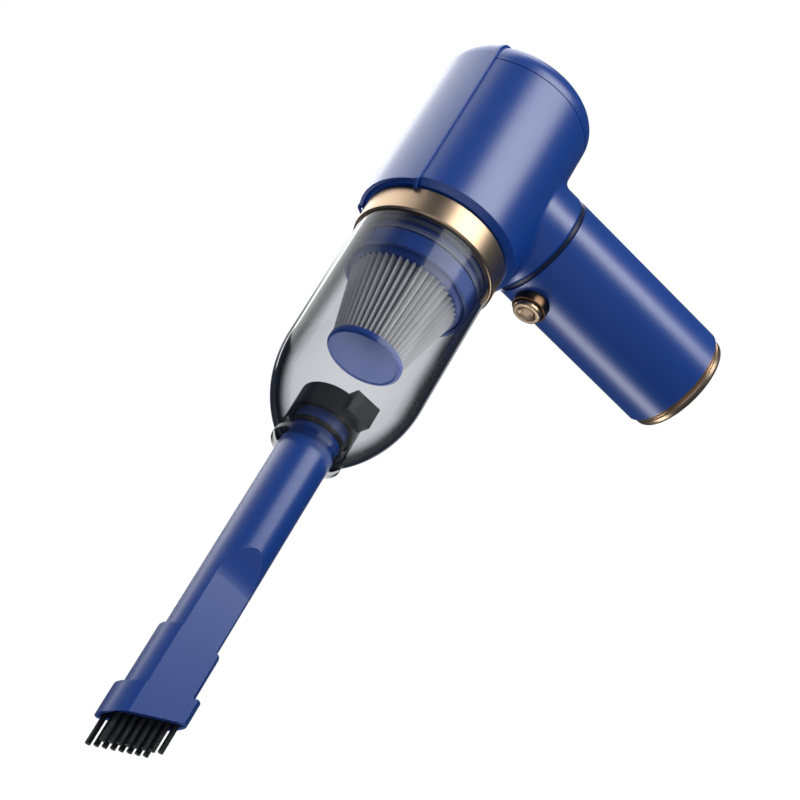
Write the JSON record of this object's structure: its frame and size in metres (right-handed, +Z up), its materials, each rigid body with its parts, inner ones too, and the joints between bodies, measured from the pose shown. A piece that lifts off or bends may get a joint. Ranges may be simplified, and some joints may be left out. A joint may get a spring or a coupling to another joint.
{
  "type": "cordless handheld vacuum cleaner",
  "caption": "Pistol-shaped cordless handheld vacuum with a clear dust cup, cone filter, crevice nozzle, pull-off dusting brush and a round battery handle.",
  "frame": {"origin": "centre of the underside of the handle's base plate", "axes": "+Z up along the handle's axis, -X along the barrel towards the nozzle"},
  "size_m": [0.3054, 0.06, 0.1457],
  "materials": {
    "blue_shell": "satin moulded",
    "gold_trim": "satin champagne gold anodised",
    "smoke_clear": "clear smoky polycarbonate",
    "black_plastic": "fine moulded",
    "white_plastic": "moulded",
    "filter_cloth": "pleated filter paper",
    "rubber": "soft matt",
    "steel": "plain",
    "copper": "wound wire",
    "foam": "open foam",
    "bristle": "nylon filament",
    "battery_wrap": "shrink film",
    "board_green": "solder mask"
  },
  "bodies": {
    "head": {"head_shell": "blue_shell", "top_cover": "blue_shell", "rear_cap": "blue_shell", "inlet_grille": "black_plastic", "grille_screws": "steel", "fan_shroud": "black_plastic", "motor_can": "steel", "front_bearing": "steel", "rear_bearing": "steel", "stator": "copper", "motor_mount": "rubber", "exhaust_foam": "foam", "handle_shell": "blue_shell", "neck_ring": "black_plastic", "base_ring": "gold_trim", "base_plate": "black_plastic", "base_screws": "steel", "battery_cells": "battery_wrap", "battery_holder": "black_plastic", "control_board": "board_green", "board_parts": "black_plastic", "button_bezel": "gold_trim", "power_switch": "black_plastic", "switch_board": "board_green", "charge_socket": "steel"},
    "fan": {"impeller": "white_plastic", "rotor_magnet": "steel", "motor_shaft": "steel"},
    "button": {"power_button": "gold_trim"},
    "lock": {"lock_ring": "gold_trim"},
    "cup": {"dust_cup": "smoke_clear", "inlet_duct": "black_plastic", "duct_deflector": "black_plastic"},
    "filter": {"filter_frame": "blue_shell", "filter_pleats": "filter_cloth", "filter_end_cap": "blue_shell", "filter_seal": "rubber", "cup_seal": "rubber"},
    "nozzle": {"crevice_nozzle": "blue_shell", "nozzle_o_ring": "rubber"},
    "brush": {"brush_head": "blue_shell", "bristle_tufts": "bristle"}
  },
  "joints": [
    {"name": "fan_spin", "type": "hinge", "parent": "head", "child": "fan", "pos_m": [0, 0, 0.1152], "axis": [1, 0, 0], "continuous": true},
    {"name": "button_press", "type": "slide", "parent": "head", "child": "button", "axis": [1, 0, 0], "range_m": [0, 0.0012], "stiffness_N_per_m": 900, "springref_m": -0.001},
    {"name": "lock_turn", "type": "hinge", "parent": "head", "child": "lock", "pos_m": [0, 0, 0.1152], "axis": [1, 0, 0], "range_deg": [0, 20]},
    {"name": "cup_pull", "type": "slide", "parent": "lock", "child": "cup", "axis": [-1, 0, 0], "range_m": [0, 0.16]},
    {"name": "filter_pull", "type": "slide", "parent": "head", "child": "filter", "axis": [-1, 0, 0], "range_m": [0, 0.056]},
    {"name": "nozzle_pull", "type": "slide", "parent": "cup", "child": "nozzle", "axis": [-1, 0, 0], "range_m": [0, 0.03]},
    {"name": "brush_pull", "type": "slide", "parent": "nozzle", "child": "brush", "axis": [-1, 0, 0], "range_m": [0, 0.03]}
  ],
  "couplings": [
    {"joint": "filter_pull", "follows": "cup_pull", "ratio": 0.35}
  ]
}
